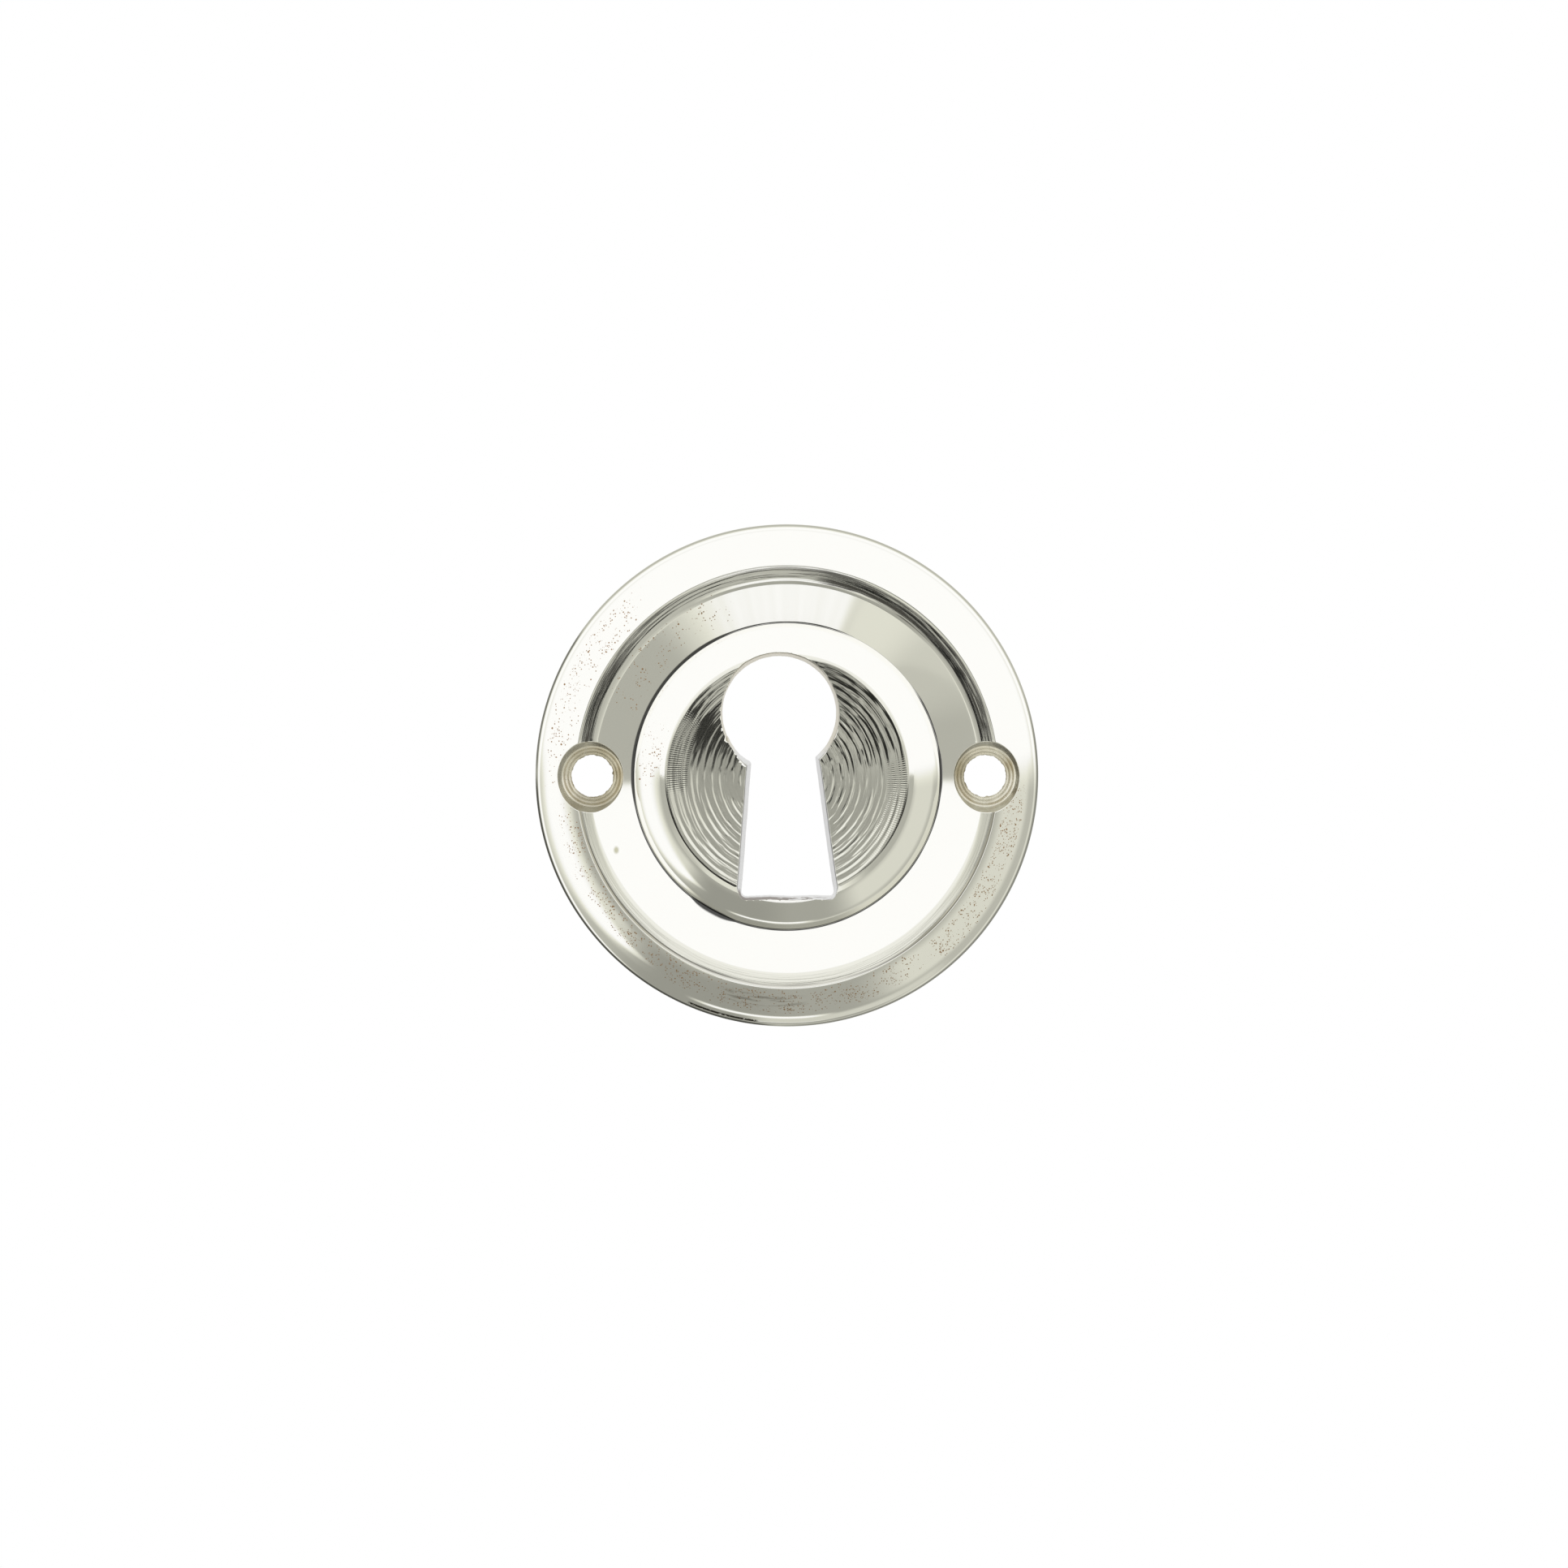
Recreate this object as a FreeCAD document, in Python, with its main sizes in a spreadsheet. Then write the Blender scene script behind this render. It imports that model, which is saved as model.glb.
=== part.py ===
import FreeCAD, Part
import math
import os
import Sketcher

# Round keyhole escutcheon, one turned and pierced brass casting, in millimetres.
# The back face lies on the door in the plane Y = 0, the moulded face looks towards -Y,
# +Z is up (the slot hangs below the bow) and the turned axis is the Y axis.

# Driving sizes, copied into the sheet; heights are measured forward from the back face
SIZES = {
    # Turned section, named from the rim inwards
    "rim_radius": 21.0,
    "rim_wall": 0.92,
    "back_bevel": 0.15,
    "rim_round": 0.80,
    "rim_round_width": 0.27,
    "rim_round_rise": 0.60,
    "crest_height": 2.90,
    "outer_bead_width": 2.99,
    "outer_bead_arc": 5.60,
    "outer_step_width": 0.39,
    "land_drop": 0.15,
    "land_width": 0.75,
    "land_fall": 0.05,
    "shoulder_width": 0.90,
    "shoulder_fall": 0.25,
    "slope_width": 2.89,
    "groove_depth": 1.50,
    "inner_bead_width": 2.38,
    "inner_bead_arc": 3.00,
    "inner_step_width": 0.45,
    "disc_drop": 0.20,
    "dish_depth": 0.25,
    # Keyhole, cut by hand a little askew
    "bow_diameter": 9.50,
    "bow_left": 0.64,
    "neck_width": 5.34,
    "neck_left": 0.31,
    "foot_width": 7.74,
    "foot_right": 0.06,
    "foot_overrun": 0.15,
    "foot_corner": 0.60,
    "keyhole_draft": 7.0,
    # Countersunk screw holes, drilled as a pair a little to the right of the middle
    "screw_inset": 4.63,
    "screw_right": 0.16,
    "screw_hole": 3.56,
    "seat_start": 0.95,
    "seat_diameter": 5.14,
    "seat_angle": 90.0,
    "relief_angle": 40.0,
    "drill_clearance": 1.0,
}
NODE = "escutcheon_plate"
ORIGIN = (-1, 1)


def size(name):
    """The expression that reads one cell of the sheet."""
    return "Sizes." + name


def write_sheet(doc):
    """Copies the driving sizes into the sheet, one named cell each."""
    sheet = doc.addObject("Spreadsheet::Sheet", "Sizes")
    for row, (name, number) in enumerate(SIZES.items(), start=1):
        sheet.set(f"A{row}", name)
        sheet.set(f"B{row}", str(number))
        sheet.setAlias(f"B{row}", name)
    doc.recompute()
    return sheet


def new_sketch(body, name, plane_role):
    """A sketch on one of the body's own origin planes."""
    sketch = body.newObject("Sketcher::SketchObject", name)
    plane = next(f for f in body.Origin.OriginFeatures if f.Role == plane_role)
    sketch.AttachmentSupport = [(plane, "")]
    sketch.MapMode = "FlatFace"
    return sketch


def bind(sketch, constraint, name, expression):
    """Adds a named dimension and ties it to an expression."""
    sketch.addConstraint(constraint)
    sketch.renameConstraint(sketch.ConstraintCount - 1, name)
    sketch.setExpression("Constraints." + name, expression)


def arc_forward(start, end, radius):
    """An arc from start to end that bulges towards the front, which is -Y on the sheet."""
    half = (end - start) / 2
    rise = math.sqrt(radius**2 - half.Length**2)
    inward = FreeCAD.Vector(-half.y, half.x, 0).normalize() * rise
    centre = start + half + inward
    first = math.atan2(start.y - centre.y, start.x - centre.x)
    last = math.atan2(end.y - centre.y, end.x - centre.x)
    return Part.ArcOfCircle(Part.Circle(centre, FreeCAD.Vector(0, 0, 1), radius), first, last)


def turned_section(body):
    """Half of the turned section, from the axis along the front to the rim and back."""
    sketch = new_sketch(body, "TurnedSection", "XY_Plane")
    rim_top = f"{size('rim_wall')} + {size('rim_round_rise')}"
    crest = size("crest_height")
    land = f"{crest} - {size('land_drop')}"
    land_end = f"{land} - {size('land_fall')}"
    slope_top = f"{land_end} - {size('shoulder_fall')}"
    crevice = f"{crest} - {size('groove_depth')}"
    disc_edge = f"{crest} - {size('disc_drop')}"
    # Corners from the rim inwards: name, width of the band before it, height, arc of that band
    bands = [
        ("rim_shoulder", "rim_round_width", rim_top, "rim_round"),
        ("outer_crest", "outer_bead_width", crest, "outer_bead_arc"),
        ("land_outer", "outer_step_width", land, None),
        ("land_inner", "land_width", land_end, None),
        ("slope_top", "shoulder_width", slope_top, None),
        ("crevice", "slope_width", crevice, None),
        ("inner_crest", "inner_bead_width", crest, "inner_bead_arc"),
        ("disc_edge", "inner_step_width", disc_edge, None),
    ]
    corner = FreeCAD.Vector(SIZES["rim_radius"], -SIZES["rim_wall"], 0)
    bevel = SIZES["back_bevel"]
    back = FreeCAD.Vector(SIZES["rim_radius"], -bevel, 0)
    wall = sketch.addGeometry(Part.LineSegment(back, corner))
    sketch.addConstraint(Sketcher.Constraint("Vertical", wall))
    reach = Sketcher.Constraint("DistanceX", *ORIGIN, wall, 2, corner.x)
    bind(sketch, reach, "rim_radius", size("rim_radius"))
    rise = Sketcher.Constraint("DistanceY", wall, 2, *ORIGIN, -corner.y)
    bind(sketch, rise, "rim_wall", size("rim_wall"))
    last = (wall, 2)
    for name, width, height, arc in bands:
        level = sketch.evalExpression(height)
        point = FreeCAD.Vector(corner.x - SIZES[width], -float(level), 0)
        if arc:
            edge = sketch.addGeometry(arc_forward(point, corner, SIZES[arc]))
            near, far = (edge, 2), (edge, 1)
            bind(sketch, Sketcher.Constraint("Radius", edge, SIZES[arc]), arc, size(arc))
        else:
            edge = sketch.addGeometry(Part.LineSegment(corner, point))
            near, far = (edge, 1), (edge, 2)
        sketch.addConstraint(Sketcher.Constraint("Coincident", *last, *near))
        bind(sketch, Sketcher.Constraint("DistanceX", *far, *near, SIZES[width]), width, size(width))
        bind(sketch, Sketcher.Constraint("DistanceY", *far, *ORIGIN, -point.y), name + "_height", height)
        corner, last = point, far
    # The disc is dished: its arc is centred on the turned axis in front of the plate
    disc_radius, depth = corner.x, SIZES["dish_depth"]
    dish = (disc_radius**2 + depth**2) / (2 * depth)
    floor = FreeCAD.Vector(0, corner.y + depth, 0)
    centre = floor - FreeCAD.Vector(0, dish, 0)
    turn = math.asin(disc_radius / dish)
    circle = Part.Circle(centre, FreeCAD.Vector(0, 0, 1), dish)
    disc = sketch.addGeometry(Part.ArcOfCircle(circle, math.pi / 2 - turn, math.pi / 2))
    sketch.addConstraint(Sketcher.Constraint("Coincident", *last, disc, 1))
    sketch.addConstraint(Sketcher.Constraint("PointOnObject", disc, 3, -2))
    sketch.addConstraint(Sketcher.Constraint("PointOnObject", disc, 2, -2))
    bind(sketch, Sketcher.Constraint("DistanceY", disc, 1, disc, 2, depth), "dish_depth", size("dish_depth"))
    # The axis, the back face and its bevelled edge close the section
    axis = sketch.addGeometry(Part.LineSegment(floor, FreeCAD.Vector(0, 0, 0)))
    sketch.addConstraint(Sketcher.Constraint("Coincident", disc, 2, axis, 1))
    sketch.addConstraint(Sketcher.Constraint("Coincident", axis, 2, *ORIGIN))
    flat = FreeCAD.Vector(SIZES["rim_radius"] - bevel, 0, 0)
    base = sketch.addGeometry(Part.LineSegment(FreeCAD.Vector(0, 0, 0), flat))
    sketch.addConstraint(Sketcher.Constraint("Coincident", axis, 2, base, 1))
    sketch.addConstraint(Sketcher.Constraint("Horizontal", base))
    edge = sketch.addGeometry(Part.LineSegment(flat, back))
    sketch.addConstraint(Sketcher.Constraint("Coincident", base, 2, edge, 1))
    sketch.addConstraint(Sketcher.Constraint("Coincident", edge, 2, wall, 1))
    reach = Sketcher.Constraint("DistanceX", edge, 1, edge, 2, bevel)
    bind(sketch, reach, "bevel_width", size("back_bevel"))
    rise = Sketcher.Constraint("DistanceY", edge, 2, edge, 1, bevel)
    bind(sketch, rise, "bevel_height", size("back_bevel"))
    # The disc's radius is what the bands leave, measured here for the keyhole
    sketch.addConstraint(Sketcher.Constraint("DistanceX", *ORIGIN, disc, 1, disc_radius))
    sketch.setDriving(sketch.ConstraintCount - 1, False)
    sketch.renameConstraint(sketch.ConstraintCount - 1, "disc_radius")
    return sketch, disc_radius


def keyhole_outline(body, disc_radius):
    """The bow, an arc that touches the disc's edge, and the slot that widens down to its foot."""
    sketch = new_sketch(body, "KeyholeOutline", "XZ_Plane")
    edge = "TurnedSection.Constraints.disc_radius / 1 mm"
    bow, corner = SIZES["bow_diameter"] / 2, SIZES["foot_corner"]
    centre = FreeCAD.Vector(-SIZES["bow_left"], disc_radius - bow, 0)
    neck_half, foot_half = SIZES["neck_width"] / 2, SIZES["foot_width"] / 2
    level = -disc_radius - SIZES["foot_overrun"]

    def on_bow(across):
        return FreeCAD.Vector(across, centre.y - math.sqrt(bow**2 - (across - centre.x) ** 2), 0)

    def flank(side, neck, foot):
        """One flank and the rounded corner below it, with the sharp corner kept as a point."""
        angle = math.atan2(neck.y - foot.y, side * (foot.x - neck.x))
        reach = corner / math.tan((math.pi - angle) / 2)
        top = foot + (neck - foot).normalize() * reach
        middle = FreeCAD.Vector(foot.x - side * reach, foot.y + corner, 0)
        line = sketch.addGeometry(Part.LineSegment(neck, top))
        turn = math.pi - angle
        first = -math.pi / 2 if side > 0 else -math.pi / 2 - turn
        circle = Part.Circle(middle, FreeCAD.Vector(0, 0, 1), corner)
        arc = sketch.addGeometry(Part.ArcOfCircle(circle, first, first + turn))
        point = sketch.addGeometry(Part.Point(foot), True)
        bind(sketch, Sketcher.Constraint("Radius", arc, corner), f"corner_{arc}", size("foot_corner"))
        sketch.addConstraint(Sketcher.Constraint("Tangent", line, 2, arc, 2 if side > 0 else 1))
        sketch.addConstraint(Sketcher.Constraint("PointOnObject", point, 1, line))
        return line, arc, point, middle.x

    neck_left = on_bow(-SIZES["neck_left"] - neck_half)
    neck_right = on_bow(neck_half - SIZES["neck_left"])
    foot_left = FreeCAD.Vector(SIZES["foot_right"] - foot_half, level, 0)
    foot_right = FreeCAD.Vector(SIZES["foot_right"] + foot_half, level, 0)
    first = math.atan2(neck_right.y - centre.y, neck_right.x - centre.x)
    last = math.atan2(neck_left.y - centre.y, neck_left.x - centre.x)
    circle = Part.Circle(centre, FreeCAD.Vector(0, 0, 1), bow)
    arc = sketch.addGeometry(Part.ArcOfCircle(circle, first, last))
    left, left_arc, left_point, left_end = flank(-1, neck_left, foot_left)
    right, right_arc, right_point, right_end = flank(1, neck_right, foot_right)
    ends = FreeCAD.Vector(left_end, level, 0), FreeCAD.Vector(right_end, level, 0)
    foot = sketch.addGeometry(Part.LineSegment(*ends))
    sketch.addConstraint(Sketcher.Constraint("Coincident", arc, 2, left, 1))
    sketch.addConstraint(Sketcher.Constraint("Coincident", arc, 1, right, 1))
    sketch.addConstraint(Sketcher.Constraint("Tangent", foot, 1, left_arc, 2))
    sketch.addConstraint(Sketcher.Constraint("Tangent", foot, 2, right_arc, 1))
    sketch.addConstraint(Sketcher.Constraint("PointOnObject", left_point, 1, foot))
    sketch.addConstraint(Sketcher.Constraint("PointOnObject", right_point, 1, foot))
    sketch.addConstraint(Sketcher.Constraint("Horizontal", foot))
    radius = f"{size('bow_diameter')} / 2"
    neck = f"{size('neck_width')} / 2"
    spread = f"{size('foot_width')} / 2"
    shift = size("foot_right")
    dimensions = [
        ("Radius", (arc,), "bow_radius", radius, bow),
        ("DistanceX", (arc, 3, *ORIGIN), "bow_left", size("bow_left"), -centre.x),
        ("DistanceY", (*ORIGIN, arc, 3), "bow_level", f"{edge} - {radius}", centre.y),
        ("DistanceX", (left, 1, *ORIGIN), "neck_left", f"{neck} + {size('neck_left')}", -neck_left.x),
        ("DistanceX", (*ORIGIN, right, 1), "neck_right", f"{neck} - {size('neck_left')}", neck_right.x),
        ("DistanceX", (left_point, 1, *ORIGIN), "foot_left", f"{spread} - {shift}", -foot_left.x),
        ("DistanceX", (*ORIGIN, right_point, 1), "foot_right", f"{spread} + {shift}", foot_right.x),
        ("DistanceY", (foot, 1, *ORIGIN), "foot_level", f"{edge} + {size('foot_overrun')}", -level),
    ]
    for kind, where, name, expression, number in dimensions:
        bind(sketch, Sketcher.Constraint(kind, *where, number), name, expression)
    return sketch


def screw_cutter(body):
    """Half of the turned space of one screw hole: clear hole, seat for the head, steeper relief."""
    sketch = new_sketch(body, "ScrewHoleSection", "XY_Plane")
    axis_at = f"{size('rim_radius')} - {size('screw_inset')} - {size('screw_right')}"
    hole, seat = f"{size('screw_hole')} / 2", f"{size('seat_diameter')} / 2"
    seat_top = (
        f"{size('seat_start')} + ({size('seat_diameter')} - {size('screw_hole')}) / 2"
        f" / tan({size('seat_angle')} / 2 * 1 deg)"
    )
    top = f"{size('crest_height')} + {size('drill_clearance')}"
    relief = f"{seat} + ({top} - ({seat_top})) * tan({size('relief_angle')} / 2 * 1 deg)"
    # Corners of the half section: distance from the hole's axis, height above the back face
    corners = [
        (None, f"-{size('drill_clearance')}"),
        (hole, f"-{size('drill_clearance')}"),
        (hole, size("seat_start")),
        (seat, seat_top),
        (relief, top),
        (None, top),
    ]
    left = float(sketch.evalExpression(axis_at))
    points = []
    for reach, level in corners:
        across = float(sketch.evalExpression(reach)) if reach else 0.0
        points.append(FreeCAD.Vector(across - left, -float(sketch.evalExpression(level)), 0))
    edges = []
    for start, end in zip(points, points[1:] + points[:1]):
        edges.append(sketch.addGeometry(Part.LineSegment(start, end)))
    for here, following in zip(edges, edges[1:] + edges[:1]):
        sketch.addConstraint(Sketcher.Constraint("Coincident", here, 2, following, 1))
    sketch.addConstraint(Sketcher.Constraint("Vertical", edges[-1]))
    bind(sketch, Sketcher.Constraint("DistanceX", edges[0], 1, *ORIGIN, left), "axis_at", axis_at)
    for number, (edge, (reach, level), point) in enumerate(zip(edges, corners, points)):
        if reach:
            across = Sketcher.Constraint("DistanceX", edges[0], 1, edge, 1, point.x + left)
            bind(sketch, across, f"reach_{number}", reach)
        if point.y > 0:
            rise = Sketcher.Constraint("DistanceY", *ORIGIN, edge, 1, point.y)
            bind(sketch, rise, f"level_{number}", size("drill_clearance"))
        else:
            rise = Sketcher.Constraint("DistanceY", edge, 1, *ORIGIN, -point.y)
            bind(sketch, rise, f"level_{number}", level)
    line = sketch.addGeometry(Part.LineSegment(points[-1], points[0]), True)
    sketch.addConstraint(Sketcher.Constraint("Coincident", line, 1, edges[-1], 1))
    sketch.addConstraint(Sketcher.Constraint("Coincident", line, 2, edges[-1], 2))
    return sketch


def lost_volume(before, after, what):
    """Stops if a cut took nothing away."""
    if after.Shape.Volume >= before.Shape.Volume - 1.0:
        raise SystemExit(f"{what} cut nothing")


def make_plate(doc):
    """The whole escutcheon: turned, then pierced for the key, then drilled for two screws."""
    body = doc.addObject("PartDesign::Body", "Plate")
    body.Label = NODE
    section, disc_radius = turned_section(body)
    turning = body.newObject("PartDesign::Revolution", "Turning")
    turning.Profile = section
    turning.ReferenceAxis = (section, ["V_Axis"])
    turning.Angle = 360.0
    doc.recompute()

    keyhole = body.newObject("PartDesign::Pocket", "Keyhole")
    keyhole.Profile = keyhole_outline(body, disc_radius)
    keyhole.Type = "Length"
    keyhole.Reversed = True
    keyhole.setExpression("Length", f"{size('crest_height')} + {size('drill_clearance')}")
    keyhole.setExpression("TaperAngle", size("keyhole_draft"))
    doc.recompute()
    lost_volume(turning, keyhole, "the keyhole")

    cutter = screw_cutter(body)
    screw = body.newObject("PartDesign::Groove", "ScrewHole")
    screw.Profile = cutter
    screw.ReferenceAxis = (cutter, ["Axis0"])
    screw.Angle = 360.0
    doc.recompute()
    lost_volume(keyhole, screw, "the first screw hole")

    pair = body.newObject("PartDesign::LinearPattern", "ScrewPair")
    pair.Originals = [screw]
    pair.Direction = (cutter, ["H_Axis"])
    pair.setExpression("Length", f"2 * ({size('rim_radius')} - {size('screw_inset')})")
    pair.Occurrences = 2
    body.Tip = pair
    doc.recompute()
    lost_volume(screw, pair, "the second screw hole")
    return body


doc = FreeCAD.newDocument("Escutcheon")
write_sheet(doc)
plate = make_plate(doc)

for thing in doc.Objects:
    if {"Invalid", "Error"} & set(thing.State):
        raise SystemExit(f"{thing.Name} failed: {thing.getStatusString()}")
if plate.Shape.isNull() or not plate.Shape.isValid() or len(plate.Shape.Solids) != 1:
    raise SystemExit("the plate isn't one valid solid")

os.makedirs("parts", exist_ok=True)
plate.Shape.exportStep(f"parts/{plate.Label}.step")
print(f"{plate.Label}: {plate.Shape.Volume:.1f} cubic mm")
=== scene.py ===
import math

import bpy
import numpy as np
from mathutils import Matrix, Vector
from mathutils.geometry import delaunay_2d_cdt


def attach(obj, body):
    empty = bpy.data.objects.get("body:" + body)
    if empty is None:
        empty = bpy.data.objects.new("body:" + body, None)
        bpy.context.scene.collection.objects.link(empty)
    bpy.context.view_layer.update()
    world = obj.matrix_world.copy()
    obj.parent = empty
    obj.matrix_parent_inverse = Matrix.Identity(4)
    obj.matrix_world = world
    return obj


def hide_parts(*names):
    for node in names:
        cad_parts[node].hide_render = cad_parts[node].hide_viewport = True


# Round keyhole escutcheon, nickel on brass, seen straight on in a white light tent.
# Plan positions are (x, z) in millimetres, heights are millimetres forward from the back face,
# and clock angles are degrees clockwise from the top as the front is seen.

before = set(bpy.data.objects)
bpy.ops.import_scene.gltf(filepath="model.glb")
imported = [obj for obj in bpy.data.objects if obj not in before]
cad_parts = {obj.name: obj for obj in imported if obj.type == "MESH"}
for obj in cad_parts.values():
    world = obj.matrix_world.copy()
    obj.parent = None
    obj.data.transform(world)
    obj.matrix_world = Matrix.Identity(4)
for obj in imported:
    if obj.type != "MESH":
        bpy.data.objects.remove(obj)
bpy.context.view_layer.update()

MM = 0.001
NODE = "escutcheon_plate"

# Turned section from the axis to the rim: the outer radius of each band, the angle at which it
# rises at its inner and at its outer end, and half the width over which it turns into the next
BANDS = [
    ("disc", 9.98, 0.0, 2.9, 0.05),
    ("inner bead", 12.60, -3.0, -42.0, 0.06),
    ("inner bead foot", 12.81, -44.0, -58.0, 0.03),
    ("groove", 16.05, 20.0, 20.0, 0.10),
    ("shoulder", 16.52, 14.0, 5.0, 0.08),
    ("land", 17.35, 3.8, 3.8, 0.06),
    ("crest step", 17.56, 22.5, 22.5, 0.10),
    ("outer bead", 20.73, -7.7, -41.9, 0.01),
]
# The height at which the outer bead meets the rim's rounding, that rounding's radius and the
# tilt at which it starts, and the bevel at the back
SHOULDER_HEIGHT = 1.435
RIM_ROUND = 0.79
RIM_STARTS = math.radians(-BANDS[-1][3])
BACK_BEVEL = 0.15

# Keyhole on the back face: the bow's centre and radius, the slot's corners before rounding,
# and a place in the neck from which every point of the outline is in sight
BOW = (-0.64, 5.23, 4.75)
SLOT = [(-2.84, 3.0), (2.165, 3.0), (3.93, -10.05), (-3.81, -10.05)]
SLOT_CORNER = 0.35
NECK = (-0.3, 1.3)
NECK_ROUND = 0.08
# Degrees by which the keyhole's wall leans outwards: along the slot, at its foot, at the bow's
# left and right sides and at the bow's top; and the rounding of its mouth
SLOT_DRAFT = 7.0
FOOT_DRAFT = 2.8
BOW_DRAFTS = (2.0, 4.5)
BOW_TOP_DRAFT = 6.5
MOUTH_ROUND = 0.8

# Screw holes: where their axes stand across the plate, the bore, the height and radius of the
# countersink, the relief that clears it above, and the roundings between them and the front
SCREW_AXES = [-16.21, 16.53]
HOLE_RADIUS = 1.78
SEAT_START = 0.95
SEAT_RADIUS = 2.57
RELIEF = math.tan(math.radians(20.0))
RELIEF_ROUND = 0.05
SEAT_ROUND = 0.11

# Points of the skin: how many go round each ring, the radius past which there are more, how far
# apart they are along a hole's edge, and how far the rings' points stay clear of that edge
SEGMENTS = 480
INNER_SEGMENTS = 240
MORE_SEGMENTS_FROM = 8.0
EDGE_SPACING = 0.11
EDGE_CLEARANCE = 0.135


def smooth_min(a, b, width):
    """The lower of two numbers, rounded where they cross."""
    return np.minimum(a, b) - np.maximum(width - np.abs(a - b), 0.0) ** 2 / (4 * width)


def turned_section():
    """Radii, heights and angles of rise, finely spaced from the axis to the rim's shoulder."""
    step = 0.001
    radii = np.arange(0.0, BANDS[-1][1] + step / 2, step)
    inner = 0.0
    lines = []
    for _, outer, first, last, _ in BANDS:
        first, last = math.sin(math.radians(first)), math.sin(math.radians(last))
        lines.append(first + (last - first) * (radii - inner) / (outer - inner))
        inner = outer
    rise = lines[0]
    for (_, corner, _, _, half), following in zip(BANDS, lines[1:]):
        turn = np.clip((radii - corner + half) / (2 * half), 0.0, 1.0)
        turn = turn * turn * (3 - 2 * turn)
        rise = rise * (1 - turn) + following * turn
    slope = rise / np.sqrt(1 - rise**2)
    heights = np.concatenate([[0.0], np.cumsum((slope[1:] + slope[:-1]) * step / 2)])
    return radii, heights + SHOULDER_HEIGHT - heights[-1], np.arcsin(rise)


RADII, HEIGHTS, RISES = turned_section()


def turned_height(x, z):
    """Height of the turned front, before the keyhole and the screw holes are cut."""
    return np.interp(np.hypot(x, z), RADII, HEIGHTS)


def slot_distance(x, z):
    """Distance from the slot's outline, negative inside it."""
    corners = [np.array(corner) for corner in SLOT]
    middle = sum(corners) / len(corners)
    sides = []
    for start, end in zip(corners, corners[1:] + corners[:1]):
        across = np.array([end[1] - start[1], start[0] - end[0]]) / np.linalg.norm(end - start)
        across *= np.sign(across @ (start - middle))
        sides.append((across, across @ start - SLOT_CORNER))
    inset = []
    for (first, reach), (second, extent) in zip(sides[-1:] + sides[:-1], sides):
        inset.append(np.linalg.solve([first, second], [reach, extent]))
    nearest = np.full(np.shape(x), np.inf)
    deepest = np.full(np.shape(x), -np.inf)
    for start, end, (across, reach) in zip(inset, inset[1:] + inset[:1], sides):
        along = end - start
        part = ((x - start[0]) * along[0] + (z - start[1]) * along[1]) / (along @ along)
        part = np.clip(part, 0.0, 1.0)
        away = np.hypot(x - start[0] - part * along[0], z - start[1] - part * along[1])
        nearest = np.minimum(nearest, away)
        deepest = np.maximum(deepest, x * across[0] + z * across[1] - reach)
    return np.where(deepest > 0, nearest, deepest) - SLOT_CORNER


def filing(x, z):
    """How far hand filing has moved the keyhole's edge outwards at a place."""
    wave = 0.5 * np.sin(5.1 * x + 1.3 * z + 0.4) + 0.3 * np.sin(11.7 * x - 3.1 * z + 2.0)
    wave += 0.2 * np.sin(23.0 * x + 7.0 * z)
    heel = np.exp(-((x + 4.2) ** 2 + (z - 2.6) ** 2) / 1.6)
    foot = np.clip((-z - 8.6) / 0.8, 0.0, 1.0) * np.sin(1.7 * x + 0.9)
    return wave * (0.012 + 0.05 * heel) + 0.03 * foot


def draft(x, z):
    """How far the keyhole's wall leans outwards for each millimetre forward."""
    foot = np.clip((-z - 9.2) / 0.6, 0.0, 1.0)
    bow = np.clip((z - 0.8) / 1.2, 0.0, 1.0)
    left, right = BOW_DRAFTS
    on_bow = left + (right - left) * np.clip((x - BOW[0]) / (2 * BOW[2]) + 0.5, 0.0, 1.0)
    on_bow += (BOW_TOP_DRAFT - on_bow) * np.clip((z - 7.6) / 1.8, 0.0, 1.0)
    lean = SLOT_DRAFT + (FOOT_DRAFT - SLOT_DRAFT) * foot + (on_bow - SLOT_DRAFT) * bow
    return np.tan(np.radians(lean))


def keyhole_distance(x, z):
    """Distance into the metal from the keyhole's outline on the back face."""
    bow = np.hypot(x - BOW[0], z - BOW[1]) - BOW[2]
    return smooth_min(bow, slot_distance(x, z), NECK_ROUND) - filing(x, z)


def seat_height(away):
    """Height of a countersink at a distance from its axis."""
    seat = SEAT_START + away - HOLE_RADIUS
    relief = SEAT_START + SEAT_RADIUS - HOLE_RADIUS + (away - SEAT_RADIUS) / RELIEF
    return -smooth_min(-seat, -relief, RELIEF_ROUND)


def front_height(x, z):
    """Height of the whole front, with the keyhole's mouth and both countersinks."""
    level = smooth_min(turned_height(x, z), keyhole_distance(x, z) / draft(x, z), MOUTH_ROUND)
    for axis in SCREW_AXES:
        away = np.hypot(x - axis, z)
        level = smooth_min(level, seat_height(away), SEAT_ROUND)
    return level


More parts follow.
